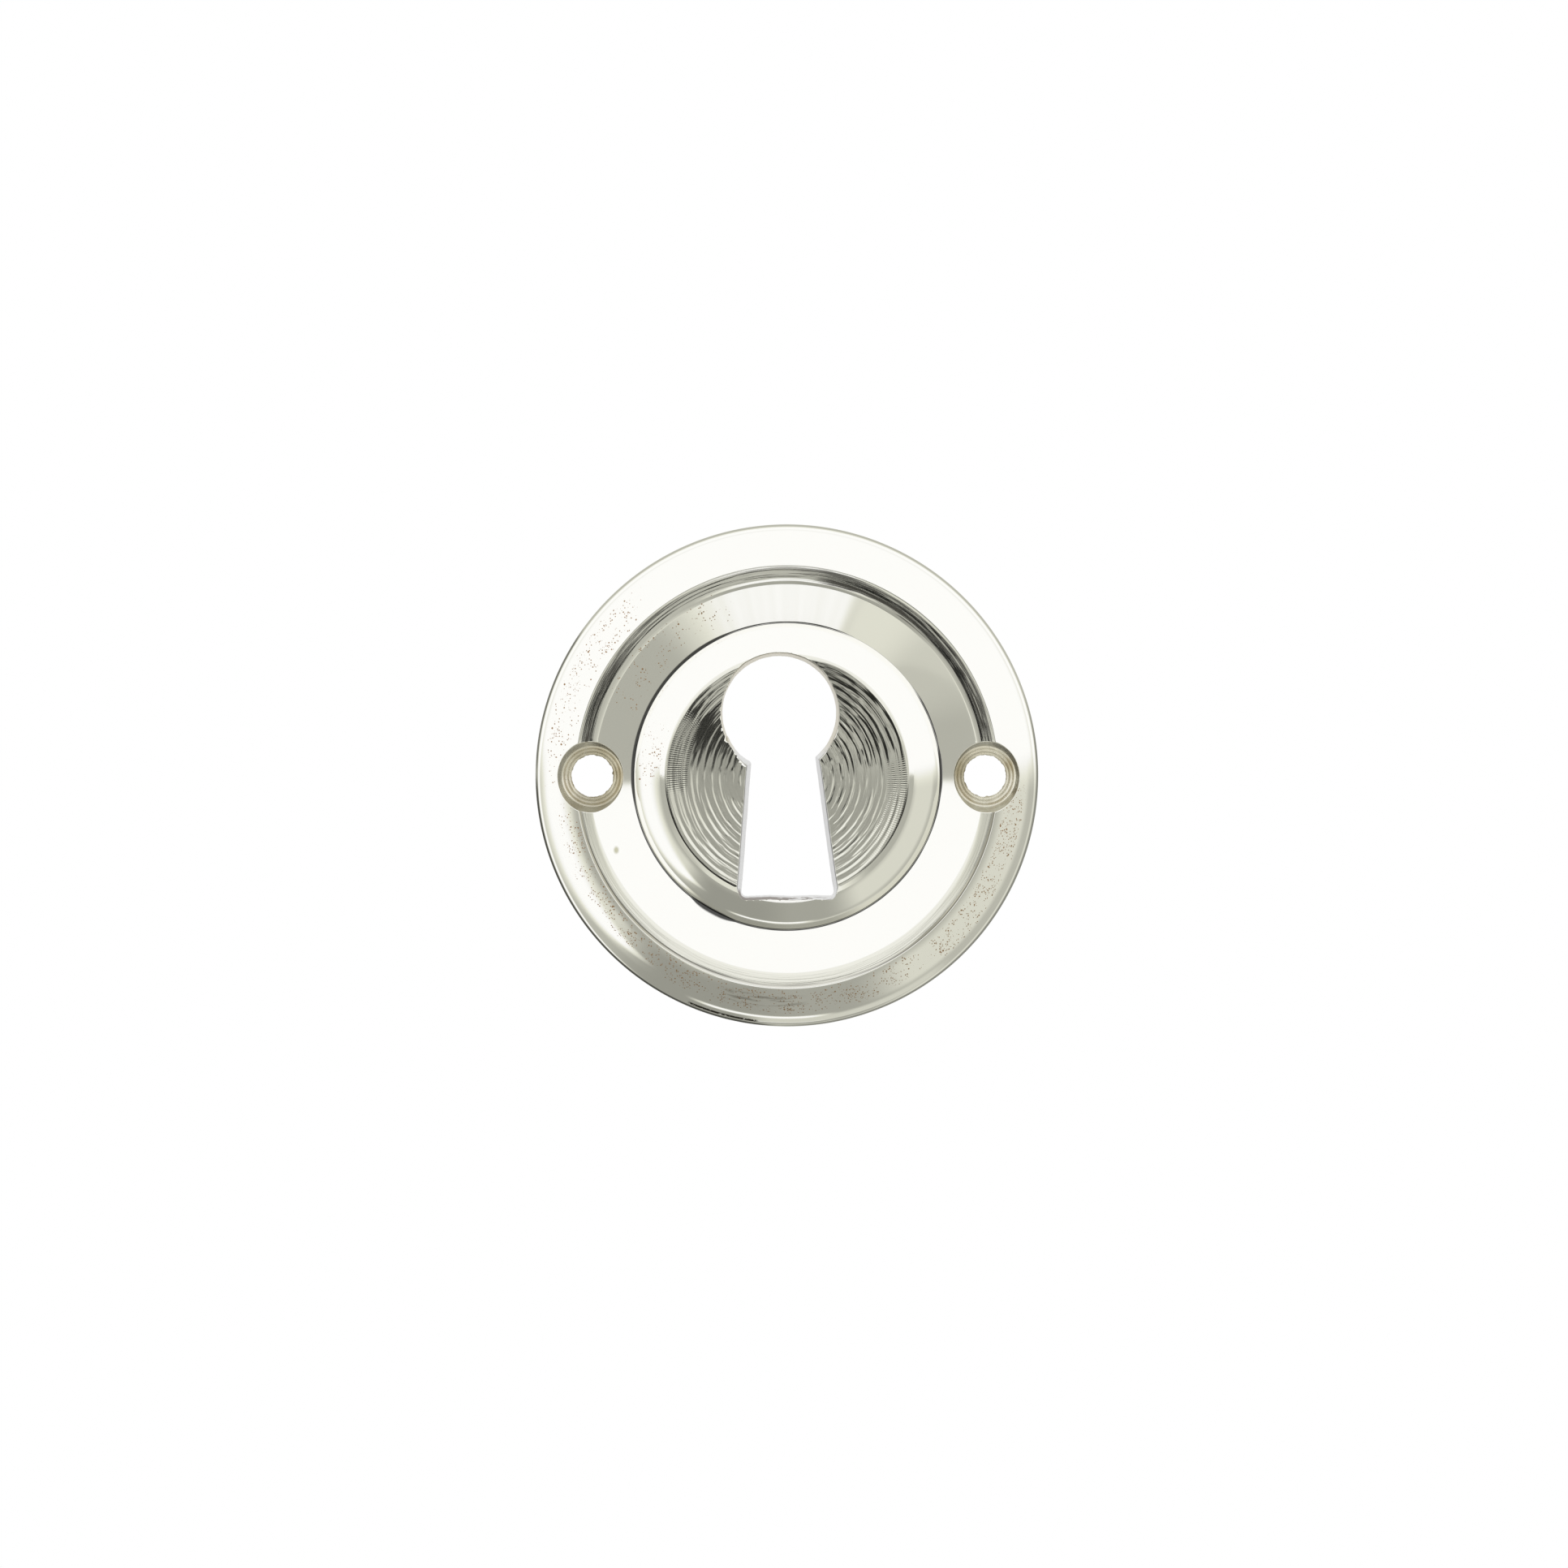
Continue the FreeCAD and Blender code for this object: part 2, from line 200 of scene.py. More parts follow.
def edge_loop(signed, centre, low, high, spacing):
    """Points round a centre, evenly spaced, where a signed distance passes zero."""
    directions, halvings = 4000, 40
    turn = np.linspace(0.0, 2 * math.pi, directions, endpoint=False)
    low, high = np.full(turn.shape, low), np.full(turn.shape, high)
    for _ in range(halvings):
        half = (low + high) / 2
        inside = signed(centre[0] + half * np.sin(turn), centre[1] + half * np.cos(turn)) < 0
        low, high = np.where(inside, half, low), np.where(inside, high, half)
    loop = np.column_stack([centre[0] + low * np.sin(turn), centre[1] + low * np.cos(turn)])
    closed = np.vstack([loop, loop[:1]])
    travel = np.concatenate([[0.0], np.cumsum(np.hypot(*np.diff(closed, axis=0).T))])
    stops = np.arange(0.0, travel[-1] - spacing / 2, travel[-1] / round(travel[-1] / spacing))
    return np.column_stack([np.interp(stops, travel, closed[:, axis]) for axis in range(2)])


def circle(radius, count, centre=(0.0, 0.0)):
    """Evenly spaced points on a circle."""
    turn = np.arange(count) * 2 * math.pi / count
    return np.column_stack([centre[0] + radius * np.sin(turn), centre[1] + radius * np.cos(turn)])


def ring_radii():
    """Radii of the rings of points, closer together where the section turns."""
    innermost, closest, widest = 2.7, 0.022, 0.30
    turn_between, look_ahead = 0.045, 60
    turning = np.abs(np.gradient(RISES, RADII))
    rings = [float(RADII[-1])]
    while rings[-1] > innermost:
        here = int(rings[-1] / RADII[1])
        sharpest = turning[max(here - look_ahead, 0):here + 1].max()
        rings.append(rings[-1] - min(widest, max(closest, turn_between / max(sharpest, 0.01))))
    return rings


def keyhole_bands(loop):
    """Points up the keyhole's wall and over its rounded mouth."""
    small = 0.001
    x, z = loop.T
    across = keyhole_distance(x + small, z) - keyhole_distance(x - small, z)
    up = keyhole_distance(x, z + small) - keyhole_distance(x, z - small)
    outwards = np.column_stack([across, up]) / np.hypot(across, up)[:, None]
    lean = draft(x, z)
    mouth = turned_height(*(loop + 0.32 * outwards).T) * lean
    reaches = [0.35 * mouth, 0.6 * mouth, mouth + 0.125]
    reaches += [mouth + past * lean for past in np.linspace(-0.9, 0.9, 14)]
    found = []
    for reach in reaches:
        points = loop + outwards * reach[:, None]
        found.append(points[keyhole_distance(*points.T) > np.maximum(0.94 * reach, 0.004)])
    return found


def countersink(axis):
    """The hole's own edge, points over its seat and its rim, and its rim's reach by direction."""
    def past_edge(x, z):
        return seat_height(np.hypot(x - axis, z)) - turned_height(x, z)

    rim = edge_loop(past_edge, (axis, 0.0), 2.0, 3.4, EDGE_SPACING)
    spokes = rim - (axis, 0.0)
    reach = np.hypot(*spokes.T)
    spokes /= reach[:, None]
    turn = np.arctan2(*spokes.T)
    # The bore's edge is ragged all round, with one burr
    ragged = 0.5 * np.sin(9 * turn + axis) + 0.35 * np.sin(17 * turn + 1.0)
    ragged += 0.3 * np.sin(31 * turn + 2 * axis)
    burr = np.exp(-((turn - (3.05 if axis > 0 else 1.45)) / 0.07) ** 2)
    edge = (axis, 0.0) + spokes * (HOLE_RADIUS - 0.03 + 0.045 * ragged - 0.12 * burr)[:, None]
    found = []
    for level in [1.84, 1.90, 2.0, 2.12, 2.25, 2.38, 2.48, 2.53, 2.56, 2.59, 2.63, 2.70, 2.78]:
        near = level < reach - 0.13
        found.append((axis, 0.0) + spokes[near] * level)
    for past in np.linspace(-0.11, 0.12, 12):
        found.append((axis, 0.0) + spokes * (reach + past)[:, None])
    order = np.argsort(turn)
    return edge, found, (turn[order], reach[order])


def front_plan():
    """Plan points of the front; the rim, the keyhole and both holes come first, as loops."""
    keyhole = edge_loop(keyhole_distance, NECK, 0.1, 14.0, EDGE_SPACING)
    loops = [circle(RADII[-1], SEGMENTS), keyhole]
    loose = keyhole_bands(keyhole)
    rims = []
    for axis in SCREW_AXES:
        edge, found, rim = countersink(axis)
        loops.append(edge)
        loose += found
        rims.append(rim)
    for radius in ring_radii()[1:]:
        ring = circle(radius, SEGMENTS if radius > MORE_SEGMENTS_FROM else INNER_SEGMENTS)
        x, z = ring.T
        keep = keyhole_distance(x, z) > turned_height(x, z) * draft(x, z) + EDGE_CLEARANCE
        for axis, (turn, reach) in zip(SCREW_AXES, rims):
            limit = np.interp(np.arctan2(x - axis, z), turn, reach, period=2 * math.pi)
            keep &= np.hypot(x - axis, z) > limit + EDGE_CLEARANCE
        loose.append(ring[keep])
    return loops, np.vstack(loose)


def triangles_between(loops, loose=None):
    """Triangles between closed loops of points, the first one the outermost."""
    points = np.vstack(loops + ([loose] if loose is not None else []))
    edges = []
    start = 0
    for loop in loops:
        stops = np.arange(start, start + len(loop))
        edges += zip(stops.tolist(), np.roll(stops, -1).tolist())
        start += len(loop)
    found = delaunay_2d_cdt([Vector(point) for point in points], edges, [], 0, 1e-7)
    source = [origins[0] for origins in found[3]]
    if len(found[0]) != len(points):
        raise SystemExit(f"{len(points)} points became {len(found[0])} when they were joined")
    faces = np.array([[source[corner] for corner in face] for face in found[2]])
    return points, faces


def plan_slopes(x, z):
    """Slopes of the front across and up, from its height a little to each side."""
    small = 0.002
    across = front_height(x + small, z) - front_height(x - small, z)
    up = front_height(x, z + small) - front_height(x, z - small)
    return across / (2 * small), up / (2 * small)


def unit(vectors):
    """Vectors of the same directions and of length one."""
    return vectors / np.linalg.norm(vectors, axis=-1, keepdims=True)


class Skin:
    """The plate's closed skin: points, triangles, and the normal at each triangle's corners."""

    def __init__(self):
        self.points = np.zeros((0, 3))
        self.triangles = []
        self.normals = []
        self.finishes = []

    def add_points(self, plan, heights):
        """Adds points by plan place and height, and returns their numbers."""
        first = len(self.points)
        made = np.column_stack([plan[:, 0], -np.broadcast_to(heights, len(plan)), plan[:, 1]])
        self.points = np.vstack([self.points, made])
        return np.arange(first, len(self.points))

    def add_faces(self, triangles, normals, finish):
        self.triangles.append(triangles)
        self.normals.append(normals)
        self.finishes.append(np.full(len(triangles), finish))

    def add_strip(self, lower, upper, normal_at, finish):
        """Two triangles between each pair of neighbours of two loops, lower one nearer the back."""
        after, above = np.roll(lower, -1), np.roll(upper, -1)
        triangles = np.vstack([
            np.column_stack([lower, upper, above]),
            np.column_stack([lower, above, after]),
        ])
        corners = self.points[triangles]
        normals = normal_at(corners)
        faces = np.cross(corners[:, 1] - corners[:, 0], corners[:, 2] - corners[:, 0])
        if (faces * normals[:, 0]).sum() < 0:
            triangles, normals = triangles[:, ::-1], normals[:, ::-1]
        self.add_faces(triangles, normals, finish)


def outward_of(axis, forward, outward):
    """Normals that lean outwards from an axis by fixed shares."""
    def normal_at(corners):
        away = corners - (axis, 0.0, 0.0)
        away[..., 1] = 0.0
        leaning = unit(away) * outward
        leaning[..., 1] = -forward
        return unit(leaning)
    return normal_at


def build_skin():
    """The whole skin: front, rim, hole walls and back, as one closed surface."""
    skin = Skin()
    loops, loose = front_plan()
    plan, faces = triangles_between(loops, loose)
    rim, keyhole, left_edge, right_edge = loops
    x, z = plan.T
    heights = front_height(x, z)
    counts = np.cumsum([0] + [len(loop) for loop in loops])
    rim_at, keyhole_at, left_at, right_at = (
        np.arange(first, last) for first, last in zip(counts[:-1], counts[1:])
    )
    heights[keyhole_at] = 0.0
    skin.add_points(plan, heights)
    middle = plan[faces].mean(axis=1)
    keep = keyhole_distance(*middle.T) > 0
    # A triangle whose corners all lie on one hole's edge fills the hole
    for edge in (left_at, right_at):
        keep &= ~np.isin(faces, edge).all(axis=1)
    faces = faces[keep]
    slopes = np.column_stack(plan_slopes(x, z))
    upright = unit(np.column_stack([-slopes[:, 0], -np.ones(len(plan)), -slopes[:, 1]]))
    skin.add_faces(faces, upright[faces], 0)
    # The rim turns over, drops to the back edge and ends in a small bevel
    last = rim_at
    for tilt in np.linspace(RIM_STARTS, math.pi / 2, 9)[1:]:
        reach = RADII[-1] + RIM_ROUND * (math.sin(tilt) - math.sin(RIM_STARTS))
        level = SHOULDER_HEIGHT - RIM_ROUND * (math.cos(RIM_STARTS) - math.cos(tilt))
        following = skin.add_points(circle(reach, SEGMENTS), level)
        skin.add_strip(following, last, rim_normals(), 0)
        last = following
    wall = skin.add_points(circle(reach, SEGMENTS), BACK_BEVEL)
    skin.add_strip(wall, last, outward_of(0.0, 0.0, 1.0), 0)
    back_rim = skin.add_points(circle(reach - BACK_BEVEL, SEGMENTS), 0.0)
    skin.add_strip(back_rim, wall, outward_of(0.0, -0.7, 0.7), 0)
    # The screw holes' walls run straight to the back
    back_edges = []
    for axis, front_edge, edge in zip(SCREW_AXES, (left_at, right_at), (left_edge, right_edge)):
        turn = np.arctan2(edge[:, 0] - axis, edge[:, 1])
        plain = np.column_stack([axis + HOLE_RADIUS * np.sin(turn), HOLE_RADIUS * np.cos(turn)])
        inner = skin.add_points(plain, SEAT_START - 0.12)
        back = skin.add_points(plain, 0.0)
        skin.add_strip(inner, front_edge, outward_of(axis, 0.3, -1.0), 0)
        skin.add_strip(back, inner, outward_of(axis, 0.0, -1.0), 0)
        back_edges.append((back, plain))
    # The flat back face
    back_loops = [circle(reach - BACK_BEVEL, SEGMENTS), keyhole] + [plain for _, plain in back_edges]
    back_plan, back_faces = triangles_between(back_loops)
    numbers = np.concatenate([back_rim, keyhole_at] + [back for back, _ in back_edges])
    middle = back_plan[back_faces].mean(axis=1)
    keep = keyhole_distance(*middle.T) > 0
    for axis in SCREW_AXES:
        keep &= np.hypot(middle[:, 0] - axis, middle[:, 1]) > HOLE_RADIUS
    back_faces = numbers[back_faces[keep]][:, ::-1]
    skin.add_faces(back_faces, np.broadcast_to((0.0, 1.0, 0.0), back_faces.shape + (3,)), 1)
    return skin


def rim_normals():
    """Normals of the rounded rim, which turns about a circle inside the plate."""
    centre = RADII[-1] - RIM_ROUND * math.sin(RIM_STARTS)
    level = SHOULDER_HEIGHT - RIM_ROUND * math.cos(RIM_STARTS)

    def normal_at(corners):
        outward = np.hypot(corners[..., 0], corners[..., 2])
        share = (outward - centre) / outward
        across = corners * share[..., None]
        across[..., 1] = corners[..., 1] + level
        return unit(across)
    return normal_at


def plate_object():
    """The plate, with the shares of countersink and of keyhole wall that its metal reads."""
    skin = build_skin()
    triangles = np.vstack(skin.triangles)
    mesh = bpy.data.meshes.new("plate_skin")
    mesh.from_pydata((skin.points * MM).tolist(), [], triangles.tolist())
    mesh.polygons.foreach_set("use_smooth", np.ones(len(triangles), dtype=bool))
    mesh.polygons.foreach_set("material_index", np.concatenate(skin.finishes))
    mesh.normals_split_custom_set(np.vstack(skin.normals).reshape(-1, 3).tolist())
    x, height, z = skin.points[:, 0], -skin.points[:, 1], skin.points[:, 2]
    cut_away = np.clip((turned_height(x, z) - height - 0.004) / 0.02, 0.0, 1.0)
    nearest = np.minimum(*(np.hypot(x - axis, z) for axis in SCREW_AXES))
    by_seat, by_keyhole = nearest < 3.3, keyhole_distance(x, z) < 0.6
    for name, near in (("seat", by_seat), ("cut", by_keyhole)):
        mesh.attributes.new(name, "FLOAT", "POINT").data.foreach_set("value", cut_away * near)
    thing = bpy.data.objects.new("plate_skin", mesh)
    bpy.context.scene.collection.objects.link(thing)
    return thing


class Field:
    """A number worked out at each point by shader nodes, written as ordinary arithmetic."""

    def __init__(self, tree, socket):
        self.tree = tree
        self.socket = socket

    def math(self, operation, *others):
        node = self.tree.nodes.new("ShaderNodeMath")
        node.operation = operation
        for place, term in zip(node.inputs, (self, *others)):
            if isinstance(term, Field):
                self.tree.links.new(term.socket, place)
            else:
                place.default_value = term
        return Field(self.tree, node.outputs[0])

    def __add__(self, other):
        return self.math("ADD", other)

    def __sub__(self, other):
        return self.math("SUBTRACT", other)

    def __mul__(self, other):
        return self.math("MULTIPLY", other)

    def __truediv__(self, other):
        return self.math("DIVIDE", other)

    __radd__ = __add__
    __rmul__ = __mul__

    def __rsub__(self, other):
        return (self * -1.0) + other

    def root(self):
        return self.math("SQRT")

    def highest(self, other):
        return self.math("MAXIMUM", other)

    def lowest(self, other):
        return self.math("MINIMUM", other)

    def ramp(self, start, end):
        """Rises smoothly from 0 at start to 1 at end, whichever is the larger."""
        node = self.tree.nodes.new("ShaderNodeMapRange")
        node.interpolation_type = "SMOOTHSTEP"
        flip = start > end
        node.inputs["From Min"].default_value = min(start, end)
        node.inputs["From Max"].default_value = max(start, end)
        node.inputs["To Min"].default_value = 1.0 if flip else 0.0
        node.inputs["To Max"].default_value = 0.0 if flip else 1.0
        self.tree.links.new(self.socket, node.inputs["Value"])
        return Field(self.tree, node.outputs[0])

    def between(self, low, high, soft):
        """One between two values, falling to zero over a soft edge outside each."""
        return self.ramp(low - soft, low) * self.ramp(high + soft, high)

    def mix(self, first, second):
        """Goes from one value to another as this share goes from 0 to 1."""
        node = self.tree.nodes.new("ShaderNodeMix")
        for term, place in ((self, 0), (first, 2), (second, 3)):
            if isinstance(term, Field):
                self.tree.links.new(term.socket, node.inputs[place])
            else:
                node.inputs[place].default_value = term
        return Field(self.tree, node.outputs[0])

    def blend(self, other, share):
        """Moves towards another value by a share from 0 to 1."""
        return share.mix(self, other)


class Dial:
    """Distance from an axis, and the direction about it as a clock angle."""

    def __init__(self, x, z):
        self.reach = (x * x + z * z).root().highest(1e-6)
        self.right = x / self.reach
        self.up = z / self.reach

    def sector(self, middle, half, soft):
        """One within some degrees of a clock angle, falling to zero over a soft edge."""
        at = math.radians(middle)
        toward = self.right * math.sin(at) + self.up * math.cos(at)
        full, none = math.cos(math.radians(half)), math.cos(math.radians(min(half + soft, 180.0)))
        return toward.ramp(none, full)


def split(tree, socket):
    """The three parts of a vector."""
    node = tree.nodes.new("ShaderNodeSeparateXYZ")
    tree.links.new(socket, node.inputs[0])
    return [Field(tree, part) for part in node.outputs]


def joined(tree, x, y, z):
    """A vector of three parts."""
    node = tree.nodes.new("ShaderNodeCombineXYZ")
    for term, place in zip((x, y, z), node.inputs):
        if isinstance(term, Field):
            tree.links.new(term.socket, place)
        else:
            place.default_value = term
    return node.outputs[0]


def noise(tree, vector, scale, detail=2.0, rough=0.5, twist=0.0):
    """Smooth random values about one half."""
    node = tree.nodes.new("ShaderNodeTexNoise")
    node.inputs["Scale"].default_value = scale
    node.inputs["Detail"].default_value = detail
    node.inputs["Roughness"].default_value = rough
    node.inputs["Distortion"].default_value = twist
    tree.links.new(vector, node.inputs["Vector"])
    return Field(tree, node.outputs["Fac"])


def tinted(tree, share, first, second):
    """A colour between two, by a share from 0 to 1; either may be a socket."""
    node = tree.nodes.new("ShaderNodeMix")
    node.data_type = "RGBA"
    tree.links.new(share.socket, node.inputs[0])
    for term, place in ((first, 6), (second, 7)):
        if isinstance(term, tuple):
            node.inputs[place].default_value = (*term, 1.0)
        else:
            tree.links.new(term, node.inputs[place])
    return node.outputs[2]


# The studio is a plain white room with a white floor. In front of the plate stands a light
# tent, which the polished faces mirror: white above, with a grey table and a white gleam below,
# and dark where the lens looks in. Angles are from straight ahead of the plate, and clock
# angles are seen from the plate. Its white has a brightness of one.
GREY_BLUE = 0.885
TENT_RADIUS = 1.5
TENT_SPREAD = 146.0


def white_room():
    """A world that is plain white from every side and to every ray."""
    world = bpy.data.worlds.new("white_room")
    world.use_nodes = True
    world.node_tree.nodes["Background"].inputs["Color"].default_value = (1.0, 1.0, 1.0, 1.0)
    bpy.context.scene.world = world


def studio_light(name, points, faces, pattern):
    """A lit surface that only polished metal shows; the pattern gives its brightness by place."""
    shape = bpy.data.meshes.new(name)
    shape.from_pydata(points, [], faces)
    thing = bpy.data.objects.new(name, shape)
    bpy.context.scene.collection.objects.link(thing)
    made = bpy.data.materials.new(name)
    made.use_nodes = True
    tree = made.node_tree
    tree.nodes.clear()
    place = tree.nodes.new("ShaderNodeTexCoord")
    lit = tree.nodes.new("ShaderNodeEmission")
    light = pattern(tree, place.outputs["Object"])
    colour = joined(tree, light, light, light * light.ramp(0.75, 0.98).mix(GREY_BLUE, 1.0))
    tree.links.new(colour, lit.inputs["Color"])
    out = tree.nodes.new("ShaderNodeOutputMaterial")
    tree.links.new(lit.outputs[0], out.inputs["Surface"])
    shape.materials.append(made)
    thing.visible_camera = False
    thing.visible_diffuse = False
    thing.visible_transmission = False
    thing.visible_volume_scatter = False
    thing.visible_shadow = False


def tent_pattern(tree, place):
    """The tent's brightness by direction from the plate."""
    x, y, z = split(tree, place)
    length = (x * x + y * y + z * z).root()
    right, ahead, up = x / length, y / length * -1.0, z / length
    dial = Dial(right, up)
    angle = dial.reach.math("ARCTAN2", ahead) * (180.0 / math.pi)
    across, rise = right / ahead, up / ahead
    near = angle.ramp(13.5, 11.0)
    # The grey table, darker towards the lens and towards the horizon
    table = angle.ramp(34.0, 20.0).mix(0.68, 0.48)
    table = table.blend(0.48, angle.ramp(66.0, 76.0))
    table = table.blend(0.37, dial.sector(180.0, 13.0, 18.0))
    table = table.blend(0.31, dial.sector(202.0, 7.0, 18.0))
    table = table.blend(0.62, dial.sector(165.0, 18.0, 8.0) * angle.ramp(73.0, 79.0))
    # A white gleam that widens to the left, a smear under it and two bright lines
    along = dial.sector(268.0, 10.0, 46.0)
    spread = (angle - 57.0).math("ABSOLUTE") / (along * 18.0 + 2.0)
    table = table.blend(1.0, spread.ramp(1.7, 0.35) * dial.sector(260.0, 36.0, 12.0))
    table = table.blend(0.40, dial.sector(222.0, 14.0, 25.0) * angle.ramp(36.0, 20.0))
    table = table.blend(1.0, dial.sector(186.0, 10.0, 8.0) * angle.between(74.0, 76.0, 2.0))
    table = table.blend(0.95, dial.sector(181.0, 7.0, 20.0) * angle.between(13.0, 21.5, 2.0))
    table = table.blend(0.48, near)
    # The dark about the lens, cut off by the table's edge on the right and by a slant on the left
    slant = (rise + across * 0.737 + 0.128).ramp(0.004, -0.004) * across.ramp(-0.0165, -0.0185)
    level = rise.between(-0.104, -0.062, 0.004) * across.ramp(-0.0185, -0.0165)
    table = table.blend(0.015, slant.highest(level) * near)
    # The white half, greyer close to the lens and grey right about it
    white = angle.ramp(75.0, 83.0).mix(1.0, 0.80)
    white = white.blend(0.86, near)
    white = white.blend(0.62, near * rise.ramp(0.01, -0.03))
    centre = (across * across + (rise + 0.054) * (rise + 0.054)).root()
    white = white.blend(0.34, centre.ramp(0.081, 0.074) * near)
    tilt = dial.right * dial.reach * 0.018 - dial.reach * dial.reach * 0.05 + 0.057
    edge = (up + tilt) / (dial.reach * 0.12 + 0.003)
    light = white.blend(table, edge.ramp(0.8, -0.8))
    # What the rim mirrors, beside and behind the plate
    behind = dial.sector(130.0, 40.0, 20.0).mix(0.5, 0.25)
    behind = behind.blend(0.08, dial.sector(225.0, 38.0, 6.0))
    behind = behind.blend(0.20, dial.sector(285.0, 14.0, 5.0))
    return light.blend(behind, angle.between(100.0, 144.0, 6.0))


def tent_dome():
    """Points and faces of a dome about the plate, open at the back."""
    sides, rows = 64, 36
    points = [(0.0, -TENT_RADIUS, 0.0)]
    for tilt in np.radians(np.linspace(0.0, TENT_SPREAD, rows + 1)[1:]):
        for x, z in circle(TENT_RADIUS * math.sin(tilt), sides).tolist():
            points.append((x, -TENT_RADIUS * math.cos(tilt), z))
    faces = [(0, 1 + side, 1 + (side + 1) % sides) for side in range(sides)]
    for row in range(rows - 1):
        inner, outer = 1 + row * sides, 1 + (row + 1) * sides
        for side in range(sides):
            after = (side + 1) % sides
            faces.append((inner + side, outer + side, outer + after, inner + after))
    return points, faces


def panel_pattern(tree, place):
    """What the groove mirrors: white above, and grey below with a white middle and its edge."""
    x, y, z = (part * (1 / MM) for part in split(tree, place))
    dial = Dial(x, z)
    wander = noise(tree, place, 90.0, 1.0) - 0.5
    table = dial.sector(250.0, 22.0, 14.0).mix(0.43, 0.50)
    table = table.blend(0.60, dial.sector(222.0, 8.0, 16.0))
    table = table.blend(0.74, dial.sector(203.0, 5.0, 14.0))
    streaks = noise(tree, joined(tree, dial.right * 34.0, 0.0, 0.0), 1.0, 2.0).ramp(0.35, 0.65)
    left_part = 1.0 - dial.sector(236.0, 37.0, 2.4)
    table = table.blend(streaks.mix(0.90, 1.0), dial.sector(180.0, 8.0, 32.0) * left_part)
    table = table.blend(0.68, dial.sector(199.5, 0.3, 1.2))
    fold = (x + wander * 4.0 + z * 0.12).ramp(-20.0, -20.6) * z.ramp(-1.0, -2.0)
    table = table * fold.mix(1.0, 0.88)
    below = (z + wander * 1.5).ramp(-1.8, -2.8)
    return below.mix(1.0, table)


def panel_ring():
    """Points and faces of a flat ring close in front of the plate."""
    inside, outside = 20.5, 31.0
    ahead = 50.0
    sides = 64
    plan = np.vstack([circle(inside, sides), circle(outside, sides)]) * MM
    faces = []
    for side in range(sides):
        after = (side + 1) % sides
        faces.append((side, after, after + sides, side + sides))
    return [(x, -ahead * MM, z) for x, z in plan.tolist()], faces


def pale_floor():
    """A wide white floor below the tent."""
    half, level = 6.0, -1.6
    corners = [(-half, -half, level), (half, -half, level), (half, half, level), (-half, half, level)]
    shape = bpy.data.meshes.new("floor")
    shape.from_pydata(corners, [], [(0, 1, 2, 3)])
    floor = bpy.data.objects.new("floor", shape)
    bpy.context.scene.collection.objects.link(floor)
    made = bpy.data.materials.new("floor_pale")
    made.use_nodes = True
    surface = made.node_tree.nodes["Principled BSDF"]
    surface.inputs["Base Color"].default_value = (1.0, 1.0, 1.0, 1.0)
    surface.inputs["Roughness"].default_value = 1.0
    surface.inputs["Specular IOR Level"].default_value = 0.0
    shape.materials.append(made)


def metal(name, colour, roughness):
    """A material with a metallic surface; returns it with its tree and its surface node."""
    made = bpy.data.materials.new(name)
    made.use_nodes = True
    tree = made.node_tree
    surface = tree.nodes["Principled BSDF"]
    surface.inputs["Metallic"].default_value = 1.0
    surface.inputs["Roughness"].default_value = roughness
    surface.inputs["Base Color"].default_value = (*colour, 1.0)
    return made, tree, surface


def bump(tree, surface, level, distance):
    """Tilts the surface's shading by the slope of a height, given in units of a distance."""
    node = tree.nodes.new("ShaderNodeBump")
    node.inputs["Distance"].default_value = distance
    tree.links.new(level.socket, node.inputs["Height"])
    tree.links.new(node.outputs[0], surface.inputs["Normal"])


def mask(tree, name):
    """A share from 0 to 1 that the mesh carries at each point."""
    node = tree.nodes.new("ShaderNodeAttribute")
    node.attribute_name = name
    return Field(tree, node.outputs["Fac"])


def spots(tree, point, scale, share, smallest, largest):
    """Round specks of many sizes: a share of the cells of a random pattern holds one each."""
    node = tree.nodes.new("ShaderNodeTexVoronoi")
    node.inputs["Scale"].default_value = scale
    tree.links.new(point, node.inputs["Vector"])
    lot, size, _ = split(tree, node.outputs["Color"])
    reach = size * (largest - smallest) + smallest
    inside = (Field(tree, node.outputs["Distance"]) / reach).ramp(1.25, 0.75)
    return inside * (share - lot).ramp(0.0, 0.02)


def line_at(reach, radius, half):
    """One on a thin circular line, falling to zero at its sides."""
    return ((reach - radius).math("ABSOLUTE") / half).ramp(1.4, 0.6)


# Colours of the metals, of what has settled on them and of painted shade and highlight; where there
# are two, noise goes between
NICKEL = (0.985, 0.98, 0.945)
PITTED = (0.34, 0.18, 0.06)
SMUDGED = (0.14, 0.10, 0.06)
GREENED = (0.42, 0.41, 0.22)
# Painted shade on the step's lower half
STEP_SHADE = (0.31, 0.29, 0.17)
# Tarnish together with painted shade on the step and a painted dark reflection on the land
TARNISH_AND_SHADE = (0.05, 0.045, 0.035)
# Painted shade in the crevice at the inner bead's foot
CREVICE_SHADE = (0.03, 0.03, 0.03)
BRASS = ((0.60, 0.53, 0.38), (0.98, 0.955, 0.85))
# Painted highlight and painted shade on the countersinks' brass
BRASS_PAINTED_HIGHLIGHT = (0.99, 0.98, 0.92)
BRASS_PAINTED_SHADE = (0.42, 0.38, 0.28)
SAWN_SLOT = (0.82, 0.82, 0.82)
SAWN_BOW = (0.72, 0.67, 0.54)
RUSTED = (0.13, 0.085, 0.055)
CAST_GRAIN = ((0.47, 0.45, 0.395), (0.535, 0.515, 0.455))
THIN_PLATING = (0.48, 0.40, 0.26)
BACK_STAIN = (0.24, 0.21, 0.16)

# Distance from one turned ring to the next, coarse and fine on the disc, and in the countersinks
DISC_RING = 0.58
FINE_DISC_RING = 0.335
SEAT_RING = 0.29


